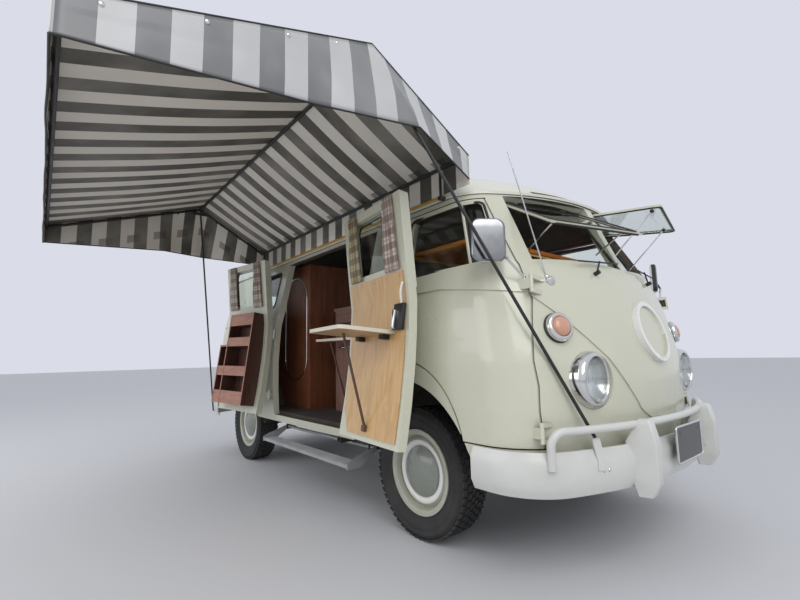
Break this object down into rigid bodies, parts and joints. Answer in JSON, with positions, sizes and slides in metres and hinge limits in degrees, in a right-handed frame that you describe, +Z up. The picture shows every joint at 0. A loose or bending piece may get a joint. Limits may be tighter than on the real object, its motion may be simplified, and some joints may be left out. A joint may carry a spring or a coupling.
{
  "type": "camper van",
  "caption": "Split-windscreen camper van with side cargo doors open, a ridged side awning up, fold-out step and flap tables.",
  "frame": {"origin": "on the ground below the middle of the whole, awning included", "axes": "+X towards the nose, +Y to the van's left, +Z up"},
  "size_m": [4.3108, 3.2884, 2.228],
  "materials": {
    "awning_cloth": "white and grey striped awning cloth",
    "black_tube": "black painted tube",
    "varnished_wood": "golden varnished batten",
    "body_paint": "pale cream-grey paint",
    "roof_paint": "cream paint",
    "bumper_paint": "white paint",
    "orange_cloth": "orange cloth",
    "glass": "clear glass with a faint green tint",
    "cabinet_wood": "mauve-brown stained board",
    "wardrobe_wood": "reddish-brown veneer",
    "black_steel": "black chassis paint",
    "engine_metal": "grey cast metal",
    "floor_paint": "grey-brown floor paint",
    "chrome": "bright plated metal",
    "table_top": "cream-edged laminated board",
    "curtain_cloth": "brown and white checked cotton",
    "plywood": "golden birch plywood",
    "dark_wood": "dark brown stained board",
    "plate_paint": "plain pale enamel",
    "seat_cloth": "grey-brown seat cloth",
    "lamp_lens": "amber-peach ribbed lens",
    "black_plastic": "black moulded rim",
    "tyre": "chunky road tyre",
    "wheel_paint": "pale painted steel with a domed cap"
  },
  "bodies": {
    "root": {"awning_canopy": "awning_cloth", "awning_frame": "black_tube", "awning_rail": "varnished_wood", "body_nose": "body_paint", "body_rear": "body_paint", "body_roof": "roof_paint", "body_side_left": "body_paint", "body_side_right": "body_paint", "cab_bunk": "orange_cloth", "cab_door_right": "body_paint", "cab_partition": "cabinet_wood", "chassis_frame": "black_steel", "dashboard": "body_paint", "engine_block": "engine_metal", "floor": "floor_paint", "front_axle": "black_steel", "front_bumper": "bumper_paint", "headlights": "chrome", "inner_table": "table_top", "kitchen_cabinet": "cabinet_wood", "mirror_right": "chrome", "nose_medallion": "chrome", "plate_front": "plate_paint", "rear_axle": "engine_metal", "rear_bumper": "bumper_paint", "screen_frames": "body_paint", "screen_glass": "glass", "seat_cushions": "seat_cloth", "side_glass": "glass", "signal_lamps": "lamp_lens", "steering_wheel": "black_plastic", "wardrobe": "wardrobe_wood", "wipers_antenna": "black_steel"},
    "knuckle_left": {"knuckle_left": "black_steel"},
    "knuckle_right": {"knuckle_right": "black_steel"},
    "wheel_front_left": {"tyre_front_left": "tyre", "wheel_front_left": "wheel_paint"},
    "wheel_front_right": {"tyre_front_right": "tyre", "wheel_front_right": "wheel_paint"},
    "wheel_rear_left": {"tyre_rear_left": "tyre", "wheel_rear_left": "wheel_paint"},
    "wheel_rear_right": {"tyre_rear_right": "tyre", "wheel_rear_right": "wheel_paint"},
    "cab_door_left": {"cab_door_left": "body_paint", "cab_door_left_glass": "glass", "mirror_left": "chrome"},
    "leaf_front": {"leaf_front": "body_paint", "leaf_front_curtains": "curtain_cloth", "leaf_front_glass": "glass", "leaf_front_liner": "plywood", "leaf_front_table": "table_top"},
    "leaf_rear": {"leaf_rear": "body_paint", "leaf_rear_curtains": "curtain_cloth", "leaf_rear_glass": "glass", "leaf_rear_rack": "dark_wood"},
    "tailgate": {"tailgate": "body_paint", "tailgate_glass": "glass"},
    "engine_lid": {"engine_lid": "body_paint"},
    "step": {"step": "black_steel"}
  },
  "joints": [
    {"name": "steer_left", "type": "hinge", "parent": "root", "child": "knuckle_left", "pos_m": [1.13, 1.307, 0.33], "axis": [0, 0, 1], "range_deg": [-26, 26]},
    {"name": "steer_right", "type": "hinge", "parent": "root", "child": "knuckle_right", "pos_m": [1.13, 0.107, 0.33], "axis": [0, 0, 1], "range_deg": [-26, 26]},
    {"name": "roll_front_left", "type": "hinge", "parent": "knuckle_left", "child": "wheel_front_left", "pos_m": [1.13, 1.394, 0.33], "axis": [0, 1, 0], "continuous": true},
    {"name": "roll_front_right", "type": "hinge", "parent": "knuckle_right", "child": "wheel_front_right", "pos_m": [1.13, 0.02, 0.33], "axis": [0, 1, 0], "continuous": true},
    {"name": "roll_rear_left", "type": "hinge", "parent": "root", "child": "wheel_rear_left", "pos_m": [-1.27, 1.394, 0.33], "axis": [0, 1, 0], "continuous": true},
    {"name": "roll_rear_right", "type": "hinge", "parent": "root", "child": "wheel_rear_right", "pos_m": [-1.27, 0.02, 0.33], "axis": [0, 1, 0], "continuous": true},
    {"name": "leaf_front_hinge", "type": "hinge", "parent": "root", "child": "leaf_front", "pos_m": [0.776, -0.193, 0.7], "axis": [0, 0.0715, 0.9974], "range_deg": [-173, 0]},
    {"name": "leaf_rear_hinge", "type": "hinge", "parent": "root", "child": "leaf_rear", "pos_m": [-0.45, -0.193, 0.7], "axis": [0, -0.0715, -0.9974], "range_deg": [-171, 0]},
    {"name": "cab_door_left_hinge", "type": "hinge", "parent": "root", "child": "cab_door_left", "pos_m": [1.905, 1.507, 0.56], "axis": [0.0755, 0.0909, -0.993], "range_deg": [0, 65]},
    {"name": "tailgate_hinge", "type": "hinge", "parent": "root", "child": "tailgate", "pos_m": [-1.946, 0.707, 1.702], "axis": [0, 1, 0], "range_deg": [0, 85]},
    {"name": "engine_lid_hinge", "type": "hinge", "parent": "root", "child": "engine_lid", "pos_m": [-2.094, 0.707, 1.02], "axis": [0, 1, 0], "range_deg": [0, 70]},
    {"name": "step_fold", "type": "hinge", "parent": "root", "child": "step", "pos_m": [0.13, -0.035, 0.388], "axis": [1, 0, 0], "range_deg": [0, 120]}
  ],
  "couplings": [
    {"joint": "steer_right", "follows": "steer_left", "ratio": 1}
  ]
}
